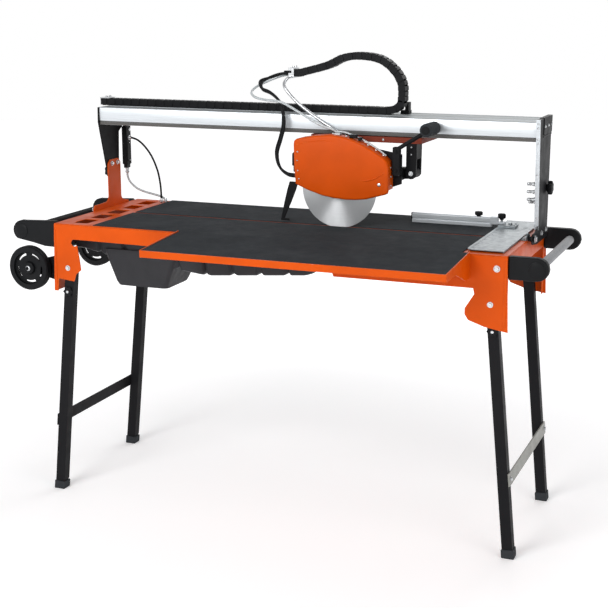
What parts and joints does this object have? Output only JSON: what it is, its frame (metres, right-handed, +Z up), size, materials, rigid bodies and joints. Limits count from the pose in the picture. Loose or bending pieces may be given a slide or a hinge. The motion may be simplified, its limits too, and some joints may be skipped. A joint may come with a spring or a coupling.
{
  "type": "bridge tile cutter",
  "caption": "Wet bridge tile saw: folding-leg steel table with ribbed rubber top, water tray and side extension, and a tilting overhead beam that carries a sliding, plunging circular saw head.",
  "frame": {"origin": "on the floor, in the middle of the whole machine's base", "axes": "+X along the beam toward the scale plate's end, +Y from the operator's side to the rear, +Z up"},
  "size_m": [1.832, 0.818, 1.474],
  "materials": {
    "orange_paint": "gloss orange powder coat",
    "black_paint": "satin black paint",
    "grey_paint": "satin grey paint",
    "red_primer": "matt red-brown primer",
    "black_plastic": "moulded black plastic",
    "tray_plastic": "vacuum-formed charcoal plastic",
    "rubber": "fine-ribbed black rubber",
    "foam": "grey foam grip",
    "aluminium": "satin anodised",
    "zinc": "zinc plated sheet",
    "steel": "bright ground steel",
    "clear_hose": "translucent hose"
  },
  "bodies": {
    "frame": {"front_panel": "orange_paint", "rear_panel": "orange_paint", "left_end_panel": "orange_paint", "right_end_panel": "orange_paint", "table_deck": "orange_paint", "front_table_mat": "rubber", "rear_table_mat": "rubber", "extension_panel": "orange_paint", "extension_mat": "rubber", "scale_plate": "zinc", "water_tray": "tray_plastic", "water_pump": "black_plastic", "left_handle_arm_front": "black_plastic", "left_handle_arm_rear": "black_plastic", "left_handle_tube": "black_paint", "right_handle_arm_front": "black_plastic", "right_handle_arm_rear": "black_plastic", "right_handle_foam": "foam", "wheel_bracket_front": "black_paint", "wheel_bracket_rear": "black_paint", "plug_lead": "black_plastic"},
    "front_transport_wheel": {"wheel_front": "rubber"},
    "rear_transport_wheel": {"wheel_rear": "rubber"},
    "left_legs": {"leg_left_front": "black_paint", "leg_left_rear": "black_paint", "foot_left_front": "rubber", "foot_left_rear": "rubber", "crossbar_left": "black_paint"},
    "right_legs": {"leg_right_front": "black_paint", "leg_right_rear": "black_paint", "foot_right_front": "rubber", "foot_right_rear": "rubber", "crossbar_right": "grey_paint"},
    "left_leg_lock": {"leg_lock_knob_left": "black_plastic"},
    "right_leg_lock": {"leg_lock_knob_right": "black_plastic"},
    "bridge": {"beam": "aluminium", "left_arm_upright": "orange_paint", "left_arm_plate": "black_paint", "right_arm": "black_paint", "cable_chain_run": "black_plastic", "plug_box": "black_plastic"},
    "left_arm_clamp": {"left_arm_knob": "black_plastic"},
    "right_arm_clamp": {"right_arm_knob": "black_plastic"},
    "carriage": {"carriage_plate": "red_primer", "hinge_bracket": "black_paint", "cable_chain_loop": "black_plastic", "chain_holder": "steel", "head_lead": "black_plastic", "water_hose": "clear_hose"},
    "saw_head": {"blade_guard": "orange_paint", "head_plate": "black_paint", "motor": "black_paint", "head_lever": "black_paint", "splash_flap": "rubber"},
    "saw_blade": {"blade": "steel", "blade_spindle": "steel"},
    "fence_slider": {"fence_shoe": "zinc"},
    "fence_arm": {"fence_bar": "aluminium"},
    "fence_arm_clamp": {"fence_bar_knob": "black_plastic"},
    "fence_slider_clamp": {"fence_pivot_knob": "black_plastic"}
  },
  "joints": [
    {"name": "front_wheel_spin", "type": "hinge", "parent": "frame", "child": "front_transport_wheel", "pos_m": [-0.841, -0.094, 0.758], "axis": [0, 1, 0], "continuous": true},
    {"name": "rear_wheel_spin", "type": "hinge", "parent": "frame", "child": "rear_transport_wheel", "pos_m": [-0.841, 0.338, 0.758], "axis": [0, 1, 0], "continuous": true},
    {"name": "left_legs_fold", "type": "hinge", "parent": "frame", "child": "left_legs", "pos_m": [-0.656, 0.122, 0.782], "axis": [0, -1, 0], "range_deg": [0, 91.5]},
    {"name": "right_legs_fold", "type": "hinge", "parent": "frame", "child": "right_legs", "pos_m": [0.752, 0.122, 0.782], "axis": [0, 1, 0], "range_deg": [0, 95.6]},
    {"name": "left_leg_lock_turn", "type": "hinge", "parent": "left_legs", "child": "left_leg_lock", "pos_m": [-0.664, -0.1475, 0.7004], "axis": [0, -1, 0], "continuous": true},
    {"name": "right_leg_lock_turn", "type": "hinge", "parent": "right_legs", "child": "right_leg_lock", "pos_m": [0.76, -0.1475, 0.7004], "axis": [0, -1, 0], "continuous": true},
    {"name": "bridge_tilt", "type": "hinge", "parent": "frame", "child": "bridge", "pos_m": [0.048, 0.122, 0.931], "axis": [1, 0, 0], "range_deg": [0, 45]},
    {"name": "left_arm_clamp_turn", "type": "hinge", "parent": "bridge", "child": "left_arm_clamp", "pos_m": [-0.722, 0.247, 1.05], "axis": [-1, 0, 0], "continuous": true},
    {"name": "right_arm_clamp_turn", "type": "hinge", "parent": "bridge", "child": "right_arm_clamp", "pos_m": [0.824, 0.297, 1.065], "axis": [1, 0, 0], "continuous": true},
    {"name": "carriage_travel", "type": "slide", "parent": "bridge", "child": "carriage", "axis": [1, 0, 0], "range_m": [-0.655, 0.335]},
    {"name": "head_plunge", "type": "hinge", "parent": "carriage", "child": "saw_head", "pos_m": [0.41, 0.192, 1.105], "axis": [0, 1, 0], "range_deg": [0, 15]},
    {"name": "blade_spin", "type": "hinge", "parent": "saw_head", "child": "saw_blade", "pos_m": [0.186, 0.122, 1.051], "axis": [0, 1, 0], "continuous": true},
    {"name": "fence_slide", "type": "slide", "parent": "frame", "child": "fence_slider", "axis": [0, 1, 0], "range_m": [-0.13, 0.1]},
    {"name": "fence_swivel", "type": "hinge", "parent": "fence_slider", "child": "fence_arm", "pos_m": [0.679, 0.278, 0.95], "axis": [0, 0, -1], "range_deg": [0, 45]},
    {"name": "fence_bar_clamp_turn", "type": "hinge", "parent": "fence_arm", "child": "fence_arm_clamp", "pos_m": [0.604, 0.278, 0.972], "axis": [0, 0, 1], "continuous": true},
    {"name": "fence_pivot_clamp_turn", "type": "hinge", "parent": "fence_slider", "child": "fence_slider_clamp", "pos_m": [0.679, 0.278, 0.967], "axis": [0, 0, 1], "continuous": true}
  ]
}
